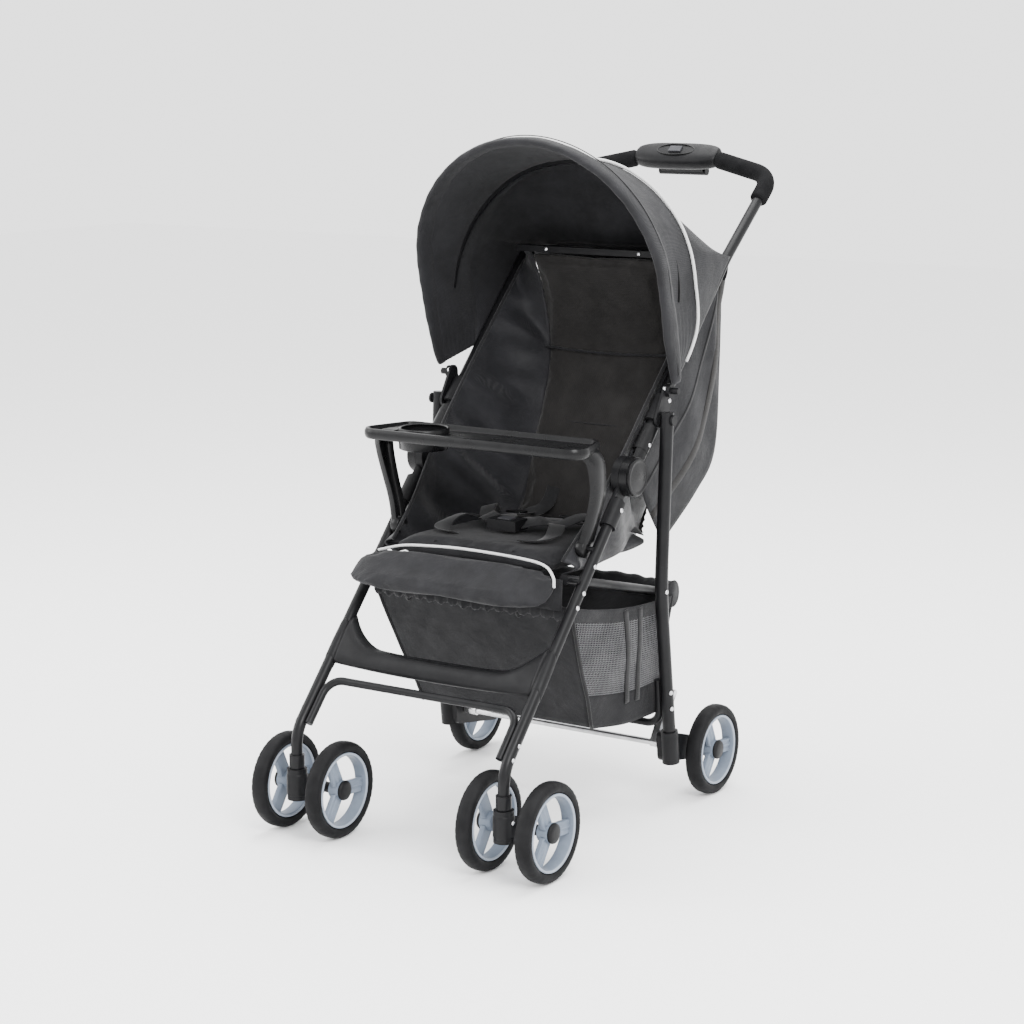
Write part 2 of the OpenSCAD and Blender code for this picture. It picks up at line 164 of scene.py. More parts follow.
M = {}
M["canopy"] = cloth("canopy_cloth", (0.0075, 0.0075, 0.0085), (0.011, 0.011, 0.0125), wrinkle=0.0014,
    sheen=0.14)
M["seat"] = cloth("seat_cloth", (0.007, 0.007, 0.008), (0.012, 0.012, 0.0135), wrinkle=0.002, sheen=0.12)
M["satin"] = cloth("satin_cloth", (0.0085, 0.0085, 0.010), (0.013, 0.013, 0.015), pitch=0.0009,
    wrinkle=0.0016, rough=0.5, sheen=0.2)
M["back_mesh"] = cloth("back_mesh_cloth", (0.0082, 0.0076, 0.0074), (0.0125, 0.0116, 0.0112), pitch=0.0030,
    wrinkle=0.001)
M["basket"] = cloth("basket_cloth", (0.006, 0.006, 0.007), (0.010, 0.010, 0.011), wrinkle=0.0022, sheen=0.12)
M["web"] = cloth("webbing", (0.006, 0.006, 0.0065), (0.010, 0.010, 0.011), pitch=0.0016, wrinkle=0.0003)
M["piping"] = cloth("white_piping", (0.50, 0.50, 0.50), (0.58, 0.58, 0.58), pitch=0.001, wrinkle=0.0002,
    rough=0.6)
M["net"] = cloth("grey_net", (0.10, 0.10, 0.105), (0.15, 0.15, 0.155), pitch=0.0008, wrinkle=0.0001)
M["tube"] = plastic("powder_coat", (0.0042, 0.0042, 0.0048), (0.0064, 0.0064, 0.0070), rough=0.36,
    grain=0.00004, coat=0.06)
M["plastic"] = plastic("satin_plastic", (0.0042, 0.0042, 0.0048), (0.0066, 0.0066, 0.0072), rough=0.45,
    grain=0.00006)
M["gloss"] = plastic("gloss_plastic", (0.0040, 0.0040, 0.0044), (0.0058, 0.0058, 0.0062), rough=0.3,
    grain=0.00002, coat=0.1)
M["rim"] = plastic("grey_plastic", (0.125, 0.150, 0.190), (0.150, 0.178, 0.222), rough=0.4)
M["rim_lip"] = plastic("pale_plastic", (0.22, 0.25, 0.30), (0.27, 0.30, 0.35), rough=0.36)
M["button"] = plastic("dark_grey_plastic", (0.03, 0.03, 0.034), (0.045, 0.045, 0.05), rough=0.5)

m = Mat("foam", (0.006, 0.006, 0.0064), 0.88, spec=0.05)
m.bump(m.noise(700, 4, 0.7), 0.0003)
m.tint(m.noise(60, 4), (0.0046, 0.0046, 0.005), (0.0075, 0.0075, 0.008))
M["foam"] = m.m
m = Mat("tyre", (0.006, 0.006, 0.0066), 0.62, spec=0.08)
m.bump(m.noise(420, 3), 0.00012)
m.tint(m.noise(35, 4), (0.0048, 0.0048, 0.0053), (0.0080, 0.0080, 0.0086))
m.vary(m.noise(50, 4), "Roughness", 0.5, 0.7)
M["tyre"] = m.m
m = Mat("steel", (0.62, 0.62, 0.63), 0.28, metallic=1.0)
m.bump(m.noise(500, 2), 0.00002)
m.tint(m.noise(80, 3), (0.5, 0.5, 0.51), (0.66, 0.66, 0.67))
M["steel"] = m.m


# ---------------------------------------------------------------- mesh tools
def new_mesh(name, verts, faces, mat, body=None, slot=None, smooth=True):
    me = bpy.data.meshes.new(name)
    me.from_pydata([tuple(v) for v in verts], [], faces)
    me.validate()
    bm = bmesh.new()
    bm.from_mesh(me)
    bmesh.ops.recalc_face_normals(bm, faces=bm.faces)
    bm.to_mesh(me)
    bm.free()
    me.update()
    if smooth:
        me.polygons.foreach_set("use_smooth", [True] * len(me.polygons))
    o = bpy.data.objects.new(name, me)
    bpy.context.scene.collection.objects.link(o)
    o.data.materials.append(M[mat])
    if body:
        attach(o, body)
    return o


def grid(rows, close_u=False, close_v=False):
    """Verts and quads of a grid: rows[i][j]; close_u joins the last row to the first."""
    nu, nv = len(rows), len(rows[0])
    verts = [v for r in rows for v in r]
    faces = []
    for i in range(nu if close_u else nu - 1):
        for j in range(nv if close_v else nv - 1):
            a, b = i * nv + j, i * nv + (j + 1) % nv
            c, d = ((i + 1) % nu) * nv + (j + 1) % nv, ((i + 1) % nu) * nv + j
            faces.append((a, b, c, d))
    return verts, faces


def join_parts(parts):
    verts, faces = [], []
    for v, f in parts:
        n = len(verts)
        verts += list(v)
        faces += [tuple(i + n for i in q) for q in f]
    return verts, faces


def curve(pts, n=10, closed=False):
    """Catmull-Rom through pts, n steps a span."""
    pts = [Vector(p) for p in pts]
    k = len(pts)
    out = []
    for i in range(k if closed else k - 1):
        p1, p2 = pts[i], pts[(i + 1) % k]
        p0 = pts[i - 1] if (i or closed) else p1 * 2 - p2
        p3 = pts[(i + 2) % k] if (i + 2 < k or closed) else p2 * 2 - p1
        for s in range(n):
            t = s / n
            out.append(0.5 * ((2 * p1) + (p2 - p0) * t + (2 * p0 - 5 * p1 + 4 * p2 - p3) * t * t
                              + (3 * p1 - p0 - 3 * p2 + p3) * t ** 3))
    if not closed:
        out.append(pts[-1].copy())
    return out


def sweep(path, section, closed=False, up=None, cap=True, scale=None):
    """Sweep a closed 2-D section along path. up fixes the section's second axis."""
    n = len(path)
    rows = []
    prev = None
    for i, p in enumerate(path):
        a = path[(i - 1) % n] if (closed or i) else p
        b = path[(i + 1) % n] if (closed or i < n - 1) else p
        t = (b - a).normalized()
        if up is not None:
            u = up(i / (n - 1)) if callable(up) else Vector(up)
            v = (u - t * u.dot(t)).normalized()
        else:
            if prev is None:
                ref = Vector((0, 0, 1)) if abs(t.z) < 0.9 else Vector((1, 0, 0))
                v = (ref - t * ref.dot(t)).normalized()
            else:
                v = (prev - t * prev.dot(t)).normalized()
        prev = v
        w = t.cross(v)
        s = scale(i / (n - 1)) if scale else 1.0
        rows.append([p + w * (c[0] * s) + v * (c[1] * s) for c in section])
    verts, faces = grid(rows, close_u=closed, close_v=True)
    if cap and not closed:
        m = len(section)
        faces.append(tuple(reversed(range(m))))
        faces.append(tuple(range((n - 1) * m, n * m)))
    return verts, faces


def circle(r, n=16):
    return [(r * math.cos(2 * math.pi * i / n), r * math.sin(2 * math.pi * i / n)) for i in range(n)]


def flat(w, t, n=4):
    """A webbing section, w wide and t thick, with rounded edges."""
    h, r = w / 2 - t / 2, t / 2
    return ([(h + r * math.cos(a), r * math.sin(a)) for a in np.linspace(-math.pi / 2, math.pi / 2, n)]
            + [(-h - r * math.cos(a), -r * math.sin(a)) for a in np.linspace(-math.pi / 2, math.pi / 2, n)])


def tube(name, path, r, mat, body, slot=None, n=16, closed=False):
    v, f = sweep(path, circle(r, n), closed=closed)
    return new_mesh(name, v, f, mat, body, slot)


def lathe(profile, centre, axis, n=64, closed=False, mod=None):
    """Turn (along, radius) points about an axis through centre."""
    ax = Vector(axis).normalized()
    u = Vector((0, 0, 1)) if abs(ax.z) < 0.9 else Vector((0, 1, 0))
    v = ax.cross(u)
    rows = []
    for k in range(n):
        a = 2 * math.pi * k / n
        d = u * math.cos(a) + v * math.sin(a)
        rows.append([centre + ax * x + d * (r + (mod(k, j) if mod else 0)) for j, (x, r) in enumerate(profile)])
    return grid(rows, close_u=True, close_v=closed)


def modify(o, kind, **k):
    md = o.modifiers.new(kind.lower(), kind)
    for a, v in k.items():
        setattr(md, a, v)
    return md


def settle(o):
    """Replace the object's mesh with its evaluated one, and drop its modifiers."""
    dg = bpy.context.evaluated_depsgraph_get()
    me = bpy.data.meshes.new_from_object(o.evaluated_get(dg))
    o.modifiers.clear()
    old = o.data
    o.data = me
    bpy.data.meshes.remove(old)
    me.polygons.foreach_set("use_smooth", [True] * len(me.polygons))
    return o


def wob(p, scale, amp, seed=0.0):
    """A repeatable smooth displacement."""
    return noise.noise(Vector(p) * scale + Vector((seed, seed * 1.7, -seed))) * amp


# ---------------------------------------------------------------- CAD nodes get real materials
look = {
    "tube": ["front_leg_l", "front_leg_r", "front_crossbar", "handle_tube", "rear_leg_l", "rear_leg_r",
             "rear_crossbar", "seat_tube", "mid_bow"],
    "plastic": ["footrest_bar", "hinge_base_l", "hinge_base_r", "hub_bracket_l", "hub_bracket_r", "fold_lever",
                "rear_housing_l", "rear_housing_r", "rear_stay", "buckle", "caster_l", "caster_r", "console"],
    "gloss": ["hinge_cap_l", "hinge_cap_r", "tray"],
    "foam": ["grip_l", "grip_r"],
    "steel": ["brake_rod"],
    "button": ["safety_slide", "buckle_button"],
    "canopy": ["canopy_rear", "canopy_mid", "canopy_front", "canopy_rim"],
    "seat": ["seat_cushion", "seat_side_l", "seat_side_r", "back_cover", "calf_rest", "shoulder_straps",
             "crotch_strap"],
    "back_mesh": ["backrest"],
    "basket": ["basket"],
}
for key, names in look.items():
    for nm in names:
        NODES[nm].data.materials.clear()
        NODES[nm].data.materials.append(M[key])
for nm, o in NODES.items():
    if nm.startswith("tyre_"):
        o.data.materials.clear(); o.data.materials.append(M["tyre"])
    if nm.startswith("rim_"):
        o.data.materials.clear(); o.data.materials.append(M["rim"])

# ---------------------------------------------------------------- shared builders
C = (404.0, 652.0)          # canopy pivot, side view
LEG_X, REAR_X = 184.0, 208.0


def at_angle(deg, r, x=0.0):
    """A point on the canopy's fan: deg up from straight back, r out from the pivot."""
    return P(x, C[0] + r * math.cos(math.radians(deg)), C[1] + r * math.sin(math.radians(deg)))


def box_section(w, t, r, n=5):
    """A rounded rectangle, w by t, corner radius r, in metres."""
    out = []
    for cx, cy, a0 in ((w / 2 - r, t / 2 - r, 0), (r - w / 2, t / 2 - r, 90), (r - w / 2, r - t / 2, 180),
                       (w / 2 - r, r - t / 2, 270)):
        for k in range(n):
            a = math.radians(a0 + 90 * k / (n - 1))
            out.append((cx + r * math.cos(a), cy + r * math.sin(a)))
    return out


def rivet(name, x, y, z, body, r=3.6, side=None):
    """A domed rivet head facing outwards along X."""
    s = side if side is not None else (1 if x > 0 else -1)
    prof = [(-0.002, r / 1000), (0.0, r / 1000), (0.0009, r / 1250), (0.0014, r / 2200), (0.0015, 0.00001)]
    v, f = lathe(prof, P(x, y, z), (s, 0, 0), 24)
    return new_mesh(name, v, f, "steel", body, "steel_rod")


def line(points, n=10, closed=False):
    return curve([P(*p) for p in points], n, closed)


def puff(o, pressure=4.0, reach=0.008, size=0.005):
    """Fills a closed cushion like a stuffed bag, its movement limited to reach."""
    modify(o, "REMESH", mode="VOXEL", voxel_size=size)
    settle(o)
    start = np.array([v.co for v in o.data.vertices])
    md = modify(o, "CLOTH")
    md.settings.quality = 5
    md.settings.use_pressure = True
    md.settings.uniform_pressure_force = pressure
    md.settings.effector_weights.gravity = 0
    md.point_cache.frame_start, md.point_cache.frame_end = 1, 20
    scene = bpy.context.scene
    for fr in range(1, 21):
        scene.frame_set(fr)
    settle(o)
    end = np.array([v.co for v in o.data.vertices])
    move = end - start
    length = np.linalg.norm(move, axis=1, keepdims=True)
    end = start + move * np.minimum(1, reach / np.maximum(length, 1e-9))
    o.data.vertices.foreach_set("co", end.ravel())
    modify(o, "SUBSURF", levels=1, render_levels=1)
    settle(o)
    scene.frame_set(1)
    return o


def slab(front, back, half, nu=34, round_mm=10.0):
    """A closed pad across X between two side-view outlines, with softened sides."""
    rows = []
    for i in range(nu + 1):
        x = half * math.sin(math.pi / 2 * (2 * i / nu - 1))
        e = math.sqrt(max(0.0, 1 - (abs(x) / half) ** 6))
        ring = []
        for j, (f, b) in enumerate(zip(front, back)):
            m = ((f[0] + b[0]) / 2, (f[1] + b[1]) / 2)
            ring.append(P(x, m[0] + (f[0] - m[0]) * e, m[1] + (f[1] - m[1]) * e))
        for f, b in zip(reversed(front), reversed(back)):
            m = ((f[0] + b[0]) / 2, (f[1] + b[1]) / 2)
            ring.append(P(x, m[0] + (b[0] - m[0]) * e, m[1] + (b[1] - m[1]) * e))
        rows.append(ring)
    verts, faces = grid(rows, close_v=True)
    n = len(rows[0])
    faces.append(tuple(reversed(range(n))))
    faces.append(tuple(range(len(verts) - n, len(verts))))
    return verts, faces


def resample(points, n):
    """n evenly spaced side-view points along a smooth line through points."""
    c = curve([Vector((0, p[0], p[1])) for p in points], 24)
    d = np.cumsum([0] + [(b - a).length for a, b in zip(c, c[1:])])
    out = []
    for t in np.linspace(0, d[-1], n):
        i = min(int(np.searchsorted(d, t, side="right")) - 1, len(c) - 2)
        k = (t - d[i]) / max(d[i + 1] - d[i], 1e-9)
        q = c[i].lerp(c[i + 1], float(k))
        out.append((q.y, q.z))
    return out


def cloth_panel(name, rows, mat, body, thick=0.0018):
    o = new_mesh(name, *grid(rows), mat)
    modify(o, "SOLIDIFY", thickness=thick, offset=0)
    settle(o)
    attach(o, body)
    return o


# ---------------------------------------------------------------- wheels
def wheel(tag, x, y, z, r, s, body):
    R, c = r / 1000, P(x, y, z)
    half = [(0.0090, R - 0.016), (0.0116, R - 0.0135), (0.0125, R - 0.0095), (0.0121, R - 0.0055),
            (0.0103, R - 0.0024), (0.0066, R - 0.0006), (0.0022, R)]
    prof = [(-a, b) for a, b in half] + [(a, b) for a, b in reversed(half)]
    n = 320

    def notch(k, j):
        shoulder = j in (3, 4, 9, 10)
        lean = 1.6 * (j if j < 7 else 13 - j)
        return -0.0006 if shoulder and ((k + lean) % 8) < 2 else 0.0

    v, f = lathe(prof, c, (1, 0, 0), n, closed=True, mod=notch)
    tyre = new_mesh(f"tyre_skin_{tag}", v, f, "tyre", body, "tyre_black")
    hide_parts(f"tyre_{tag}")

    b = R - 0.0162
    barrel = [(-0.0098, b), (0.0098, b), (0.0104, b - 0.0022), (0.0096, b - 0.0046), (-0.0096, b - 0.0046),
              (-0.0104, b - 0.0022)]
    parts = [lathe(barrel, c, (1, 0, 0), 96, closed=True)]
    spoke = [(-0.0100, -0.0042), (0.0100, -0.0042), (0.0108, 0.0030), (0.0090, 0.0046), (0.0062, 0.0030),
             (0.0030, 0.0030), (0.0014, 0.0046), (-0.0014, 0.0046), (-0.0030, 0.0030), (-0.0062, 0.0030),
             (-0.0090, 0.0046), (-0.0108, 0.0030)]
    for deg in (-5, 115, 235):
        a = math.radians(deg)
        d = Vector((0, math.cos(a), math.sin(a)))
        path = [c + d * q for q in np.linspace(0.012, b - 0.0040, 6)]
        parts.append(sweep(path, spoke, up=(s, 0, 0)))
    hub = [(-0.0118, 0.00001), (-0.0118, 0.0120), (-0.0105, 0.0142), (0.0070, 0.0150), (0.0085, 0.0140)]
    parts.append(lathe(hub, c, (s, 0, 0), 48))
    v, f = join_parts(parts)
    rim = new_mesh(f"rim_skin_{tag}", v, f, "rim", body, "rim_grey")
    modify(rim, "BEVEL", width=0.0006, segments=2, limit_method="ANGLE")
    modify(rim, "EDGE_SPLIT", split_angle=math.radians(38))
    settle(rim)
    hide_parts(f"rim_{tag}")
    for e in (-1, 1):
        lip = [(e * 0.0094, b + 0.0004), (e * 0.0112, b - 0.0002), (e * 0.0116, b - 0.0020),
               (e * 0.0108, b - 0.0036), (e * 0.0094, b - 0.0040)]
        v, f = lathe(lip, c, (1, 0, 0), 96, closed=True)
        new_mesh(f"rim_lip_{tag}_{'a' if e < 0 else 'b'}", v, f, "rim_lip", body, "rim_grey")
    cap = [(0.0078, 0.0148), (0.0098, 0.0152), (0.0122, 0.0142), (0.0136, 0.0105), (0.0141, 0.0055),
        (0.0142, 0.00001)]
    v, f = lathe(cap, c, (s, 0, 0), 48)
    new_mesh(f"hub_cap_{tag}", v, f, "plastic", body, "plastic_black")


FA, RA = (12.0, 73.0), (512.0, 71.0)
for tag, x, s in (("fl_out", -LEG_X - 50, -1), ("fl_in", -LEG_X + 50, 1), ("fr_out", LEG_X + 50, 1),
                  ("fr_in", LEG_X - 50, -1)):
    wheel(tag, x, FA[0], FA[1], 73.0, s, f"wheel_{tag}")
for tag, x, s in (("rl", -224.5, -1), ("rr", 224.5, 1)):
    wheel(tag, x, RA[0], RA[1], 71.0, s, f"wheel_{tag}")

for sd, s in (("l", -1), ("r", 1)):
    # caster: a stepped cap over the stem, a rivet and the swivel pin's end
    cap = [(0.0, 0.00001), (0.0, 0.0150), (0.004, 0.0158), (0.030, 0.0158), (0.034, 0.0150), (0.0362, 0.0128),
           (0.0395, 0.0124), (0.0405, 0.0090)]
    v, f = lathe(cap, P(s * LEG_X, -25, 66), (0, 0, 1), 48)
    new_mesh(f"caster_cap_{sd}", v, f, "plastic", f"caster_{'left' if s < 0 else 'right'}", "plastic_black")
    rivet(f"caster_rivet_{sd}", s * (LEG_X + 15.9), -25, 90, f"caster_{'left' if s < 0 else 'right'}", 3.0)

# ---------------------------------------------------------------- footrest bar and its clamps
rows = []
for t in np.linspace(-1, 1, 81):
    q = abs(t)
    base = (66 - 8 * q ** 3, 245 + 8 * q ** 2.6)
    h = 27 + 33 * max(0.0, (q - 0.62) / 0.38) ** 1.7
    lean = 0.34 + 0.56 * q ** 3
    ring = []
    for a, b in ((-3, 0), (-7, 0.10), (-9, 0.35), (-8, 0.72), (-5, 0.93), (0, 1.0), (11, 1.0), (15, 0.95),
        (15, 0.82), (8, 0.55),
                 (6, 0.12), (4, 0)):
        ring.append(P(176 * t, base[0] + a + h * lean * b * 0.9, base[1] + h * b))
    rows.append(ring)
v, f = grid(rows, close_v=True)
f += [tuple(reversed(range(12))), tuple(range(len(v) - 12, len(v)))]
parts = [(v, f)]
leg_dir = Vector((0, 0.673, 0.740))
for s in (-1, 1):
    foot = P(s * LEG_X, -25, 163)
    prof = [(0.120, 0.0088), (0.120, 0.0125), (0.124, 0.0136), (0.150, 0.0142), (0.180, 0.0134),
        (0.186, 0.0118),
            (0.186, 0.0088)]
    parts.append(lathe(prof, foot, leg_dir, 40, closed=True))
v, f = join_parts(parts)
bar = new_mesh("footrest_skin", v, f, "plastic", "front_frame", "plastic_black")
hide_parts("footrest_bar")
v, f = sweep([P(-112, 80, 272.8), P(0, 79.5, 272.6), P(112, 80, 272.8)],
    box_section(0.0085, 0.0012, 0.0005), up=(0, 0, 1))
new_mesh("footrest_grip", v, f, "foam", "front_frame", "plastic_black")


# ---------------------------------------------------------------- tray
def tray_outline(inset, n=14):
    pts = []
    for cx, cy, r, a0, a1 in ((170, 176, 26, -90, 20), (156, 234, 22, 20, 90), (-156, 234, 22, 90, 160),
                              (-170, 176, 26, 160, 270)):
        for k in range(n):
            a = math.radians(a0 + (a1 - a0) * k / (n - 1))
            pts.append((cx + (r - inset) * math.cos(a), cy + (r - inset) * math.sin(a)))
    return pts


levels = [(9, 579), (3.5, 579), (1.0, 581.5), (0, 586), (0.3, 591), (2.2, 594.6), (5.0, 595.2), (7.6, 593.6),
          (9.6, 589.5), (12.5, 587.3), (17.5, 586.8)]
rows = [[P(x, y, z) for x, y in tray_outline(i)] for i, z in levels]
v, f = grid(rows, close_v=True)
n = len(rows[0])
f.append(tuple(reversed(range(n))))
f.append(tuple(range(len(v) - n, len(v))))
tray = new_mesh("tray_top", v, f, "gloss")
v, f = lathe([(-0.030, 0.00001), (-0.030, 0.035), (0.030, 0.035), (0.030, 0.00001)], P(-112, 205, 594),
    (0, 0, 1), 72)
cutter = new_mesh("tray_cutter", v, f, "gloss")
modify(tray, "BOOLEAN", operation="DIFFERENCE", object=cutter, solver="EXACT")
settle(tray)
bpy.data.objects.remove(cutter)
modify(tray, "EDGE_SPLIT", split_angle=math.radians(40))
settle(tray)
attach(tray, "snack_tray")
cup = [(0.0065, 0.0350), (0.0080, 0.0372), (0.0062, 0.0388), (0.0, 0.0388), (-0.0240, 0.0378),
    (-0.0255, 0.0350),
       (-0.0255, 0.00001), (-0.0222, 0.00001), (-0.0220, 0.0330), (-0.0195, 0.0350)]
v, f = lathe(cup, P(-112, 205, 588), (0, 0, 1), 72)
new_mesh("tray_cup", v, f, "gloss", "snack_tray", "plastic_black")
for sd, s in (("l", -1), ("r", 1)):
    pth = curve([P(s * 150, 200, 585), P(s * 176, 203, 584), P(s * 189, 207, 573), P(s * 191, 213, 549),
        P(s * 187, 219, 516),
                 P(s * 176, 220, 474), P(s * 167, 215, 436)], 8)
    channel = [(-0.0055, -0.5), (0.0030, -0.5), (0.0060, -0.40), (0.0060, 0.40), (0.0030, 0.5), (-0.0055, 0.5),
               (-0.0055, 0.42), (0.0012, 0.40), (0.0026, 0.34), (0.0026, -0.34), (0.0012, -0.40),
                   (-0.0055, -0.42)]
    rows, prev = [], None
    for i, q in enumerate(pth):
        t = (pth[min(i + 1, len(pth) - 1)] - pth[max(i - 1, 0)]).normalized()
        out = Vector((0, 1, 0)).cross(t) * (-s)
        out = out if out.dot(Vector((s, 0, 0.6))) > 0 else -out
        width = 0.047 - 0.021 * min(1, 1.35 * i / len(pth))
        rows.append([q + out.normalized() * a + Vector((0, 1, 0)) * (b * width) for a, b in channel])
    v, f = grid(rows, close_v=True)
    f += [tuple(reversed(range(12))), tuple(range(len(v) - 12, len(v)))]
    parts = [(v, f), lathe([(-0.0072, 0.00001), (-0.0072, 0.0128), (-0.0058, 0.0142), (0.0058, 0.0142),
        (0.0072, 0.0128),
                            (0.0072, 0.00001)], P(s * 166.5, 214, 439), (1, 0, 0), 40)]
    v, f = join_parts(parts)
    arm = new_mesh(f"tray_arm_{sd}", v, f, "gloss", "snack_tray", "plastic_black")
    modify(arm, "EDGE_SPLIT", split_angle=math.radians(50))
    settle(arm)
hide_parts("tray")

# ---------------------------------------------------------------- hinge covers, rivets
for sd, s in (("l", -1), ("r", 1)):
    face = [(0.0, 0.0282), (0.0012, 0.0282), (0.0022, 0.0268), (0.0020, 0.0240), (0.0012, 0.0228),
        (0.0014, 0.0205),
            (0.0026, 0.0120), (0.0030, 0.00001)]
    v, f = lathe(face, P(s * (LEG_X + 15.4), 312, 533), (s, 0, 0), 72)
    new_mesh(f"hinge_cover_{sd}", v, f, "gloss", "handle_frame", "plastic_black")
    rivet(f"rivet_sleeve_{sd}", s * (LEG_X + 12.6), 353, 575.5, "handle_frame")
    rivet(f"rivet_bracket_a_{sd}", s * (LEG_X + 13.6), 395, 656, "handle_frame")
    rivet(f"rivet_bracket_b_{sd}", s * (LEG_X + 13.6), 409, 636, "handle_frame")
    rivet(f"rivet_base_{sd}", s * (LEG_X + 12.6), 272, 489, "front_frame")
    for k, (y, z) in enumerate(((-12.5, 176.5), (3, 193.5))):
        rivet(f"rivet_leg_{k}_{sd}", s * (LEG_X + 8.6), y, z, "front_frame")
    for k, (y, z) in enumerate(((157, 363), (174, 381.5), (205, 415.5))):
        rivet(f"rivet_up_{k}_{sd}", s * (LEG_X + 8.6), y, z, "front_frame")
    for k, (y, z) in enumerate(((372, 349.5), (389.5, 188), (393, 162))):
        rivet(f"rivet_rear_{k}_{sd}", s * (REAR_X + 10.1), y, z, "rear_frame")
    rivet(f"rivet_housing_{sd}", s * 206.3, 419, 80, "rear_frame", 3.0)


# ---------------------------------------------------------------- canopy
def rim_line(u, g=4.0, deg=104.0, lo=16.0):
    """u runs 0 to 1 from the left tip, over the top, to the right tip."""
    side_len, R = 168.0 - lo, 205.0 + g
    total = 2 * side_len + math.pi * R
    d = u * total
    if d < side_len:
        return at_angle(deg, lo + d, -R)
    if d > total - side_len:
        return at_angle(deg, lo + total - d, R)
    a = (d - side_len) / R
    return at_angle(deg, 168.0 + R * math.sin(a), -R * math.cos(a))


def seam_line(u):
    """The seam with white piping: nearly upright, over the middle of the canopy."""
    side_len, R, low = 93.0, 205.0, 690.0
    total = 2 * side_len + math.pi * R
    d = u * total
    if d < side_len:
        x, z = -R, low + d
    elif d > total - side_len:
        x, z = R, low + total - d
    else:
        a = (d - side_len) / R
        x, z = -R * math.cos(a), low + side_len + R * math.sin(a)
    k = (z - low) / 298.0
    x *= 1 - 0.065 * max(0.0, 1 - 3.2 * k) ** 2
    return P(x, 461 + 15 * math.sin(math.pi * min(1, 2.6 * k)) * (1 - k) + 17 * k, z)


def back_line(u):
    """The rear edge: up the side to the handle tube, then across to the stay."""
    us = 0.20
    t = min(u, 1 - u)
    s = -1 if u < 0.5 else 1
    if t < us:
        k = t / us
        return P(s * (191.7 + 1.5 * math.sin(math.pi * k)), 466 + 138 * k, 690 + 148 * k)
    k = (t - us) / (0.5 - us)
    k = k * k * (3 - 2 * k)
    return P(s * 191 * (1 - (t - us) / (0.5 - us)), 604 - 46 * k, 838 + 13 * math.sin(math.pi / 2 * k))


NU = 150
rows = []
for i in range(NU + 1):
    u = i / NU
    F, G, B = rim_line(u), seam_line(u), back_line(u)
    top = math.sin(math.pi * u)
    row = []
    for k in range(26):
        t = k / 25
        q = F.lerp(G, t)
        n_out = Vector((q.x, 0, q.z - 0.70)).normalized()
        sag = -0.006 * math.sin(math.pi * t) * top ** 0.5
        fan = 0.0006 * math.sin(17 * math.pi * t + 2 * math.sin(9 * u)) * max(0, 1 - 2.4 * top)
        row.append(q + n_out * (sag + fan + wob(q, 9, 0.0024, 1.0) + wob(q, 30, 0.0006, 4.0)))
    for k in range(1, 21):
        t = k / 20
        q = G.lerp(B, t)
        n_out = Vector((q.x, 0.3 * (t + 0.2), q.z - 0.70)).normalized()
        puffed = 0.012 * math.sin(math.pi * t) * top - 0.004 * math.sin(math.pi * t) * (1 - top)
        row.append(q + n_out * (puffed + wob(q, 11, 0.0034, 2.0) + wob(q, 34, 0.0008, 5.0)))
    rows.append(row)
v, f = grid(rows)
canopy = new_mesh("canopy_sheet", v, f, "canopy")
modify(canopy, "SOLIDIFY", thickness=0.0012, offset=0)
settle(canopy)
edge = [r[45].copy() for r in rows]
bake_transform(canopy)
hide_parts("canopy_rear", "canopy_mid", "canopy_front")
pip = [r[25] + Vector((r[25].x, 0, r[25].z - 0.70)).normalized() * 0.0036 for r in rows]
v, f = sweep(pip, circle(0.0024, 10))
piping = new_mesh("canopy_piping", v, f, "piping")
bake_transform(piping)

flap = []
for i in range(31, NU - 30):
    q = edge[i]
    k = (i - 31) / (NU - 61)
    low = P(165 * (2 * k - 1), 622, 776)
    flap.append([q.lerp(low, t) + Vector((0, 0.016 * math.sin(math.pi * t), 0)) + Vector((0, 1,
        0)) * wob(q.lerp(low, t), 12, 0.003, 31)
                 for t in np.linspace(0, 1, 14)])
flap = new_mesh("canopy_flap", *grid(flap), "canopy")
modify(flap, "SOLIDIFY", thickness=0.0012, offset=0)
settle(flap)
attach(flap, "handle_frame")
us = np.linspace(0, 1, 241)
path = [rim_line(u, 9.0, 104.5, 14.0) for u in us]
rows = []
for i, p in enumerate(path):
    u = us[i]
    t = (path[min(i + 1, 240)] - path[max(i - 1, 0)]).normalized()
    out = Vector((p.x, 0, p.z - 0.70)).normalized()
    out = (out - t * out.dot(t)).normalized()
    w = t.cross(out)
    end = min(1.0, 14 * min(u, 1 - u)) ** 0.5
    width = 0.0195 * (0.45 + 0.55 * end)
    ring = []
    for k in range(28):
        a = 2 * math.pi * k / 28
        c, sn = math.cos(a), math.sin(a)
        q = w * (width * math.copysign(abs(c) ** 0.75, c)) + out * (0.0068 * math.copysign(abs(sn) ** 0.9,
            sn) * (0.5 + 0.5 * end))
        gather = 0.00035 * end * math.sin(210 * u + 3 * c) * (1 - abs(sn)) ** 0.5
        ring.append(p + q * (1 + gather / 0.012) + out * wob(p + q, 26, 0.0011, 8.0))
    rows.append(ring)
v, f = grid(rows, close_v=True)
f.append(tuple(reversed(range(28))))
f.append(tuple(range(len(v) - 28, len(v))))
rim = new_mesh("canopy_rim_pad", v, f, "canopy", "canopy_forward", "cloth_black")
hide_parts("canopy_rim")
for e, nm in ((1, "front"), (-1, "back")):
    pth = [rim_line(u, 14.6, 104.5 + e * 1.9, 14.0) for u in np.linspace(0.01, 0.99, 161)]
    v, f = sweep(pth, circle(0.0008, 6))
    new_mesh(f"rim_stitch_{nm}", v, f, "web", "canopy_forward", "cloth_black")

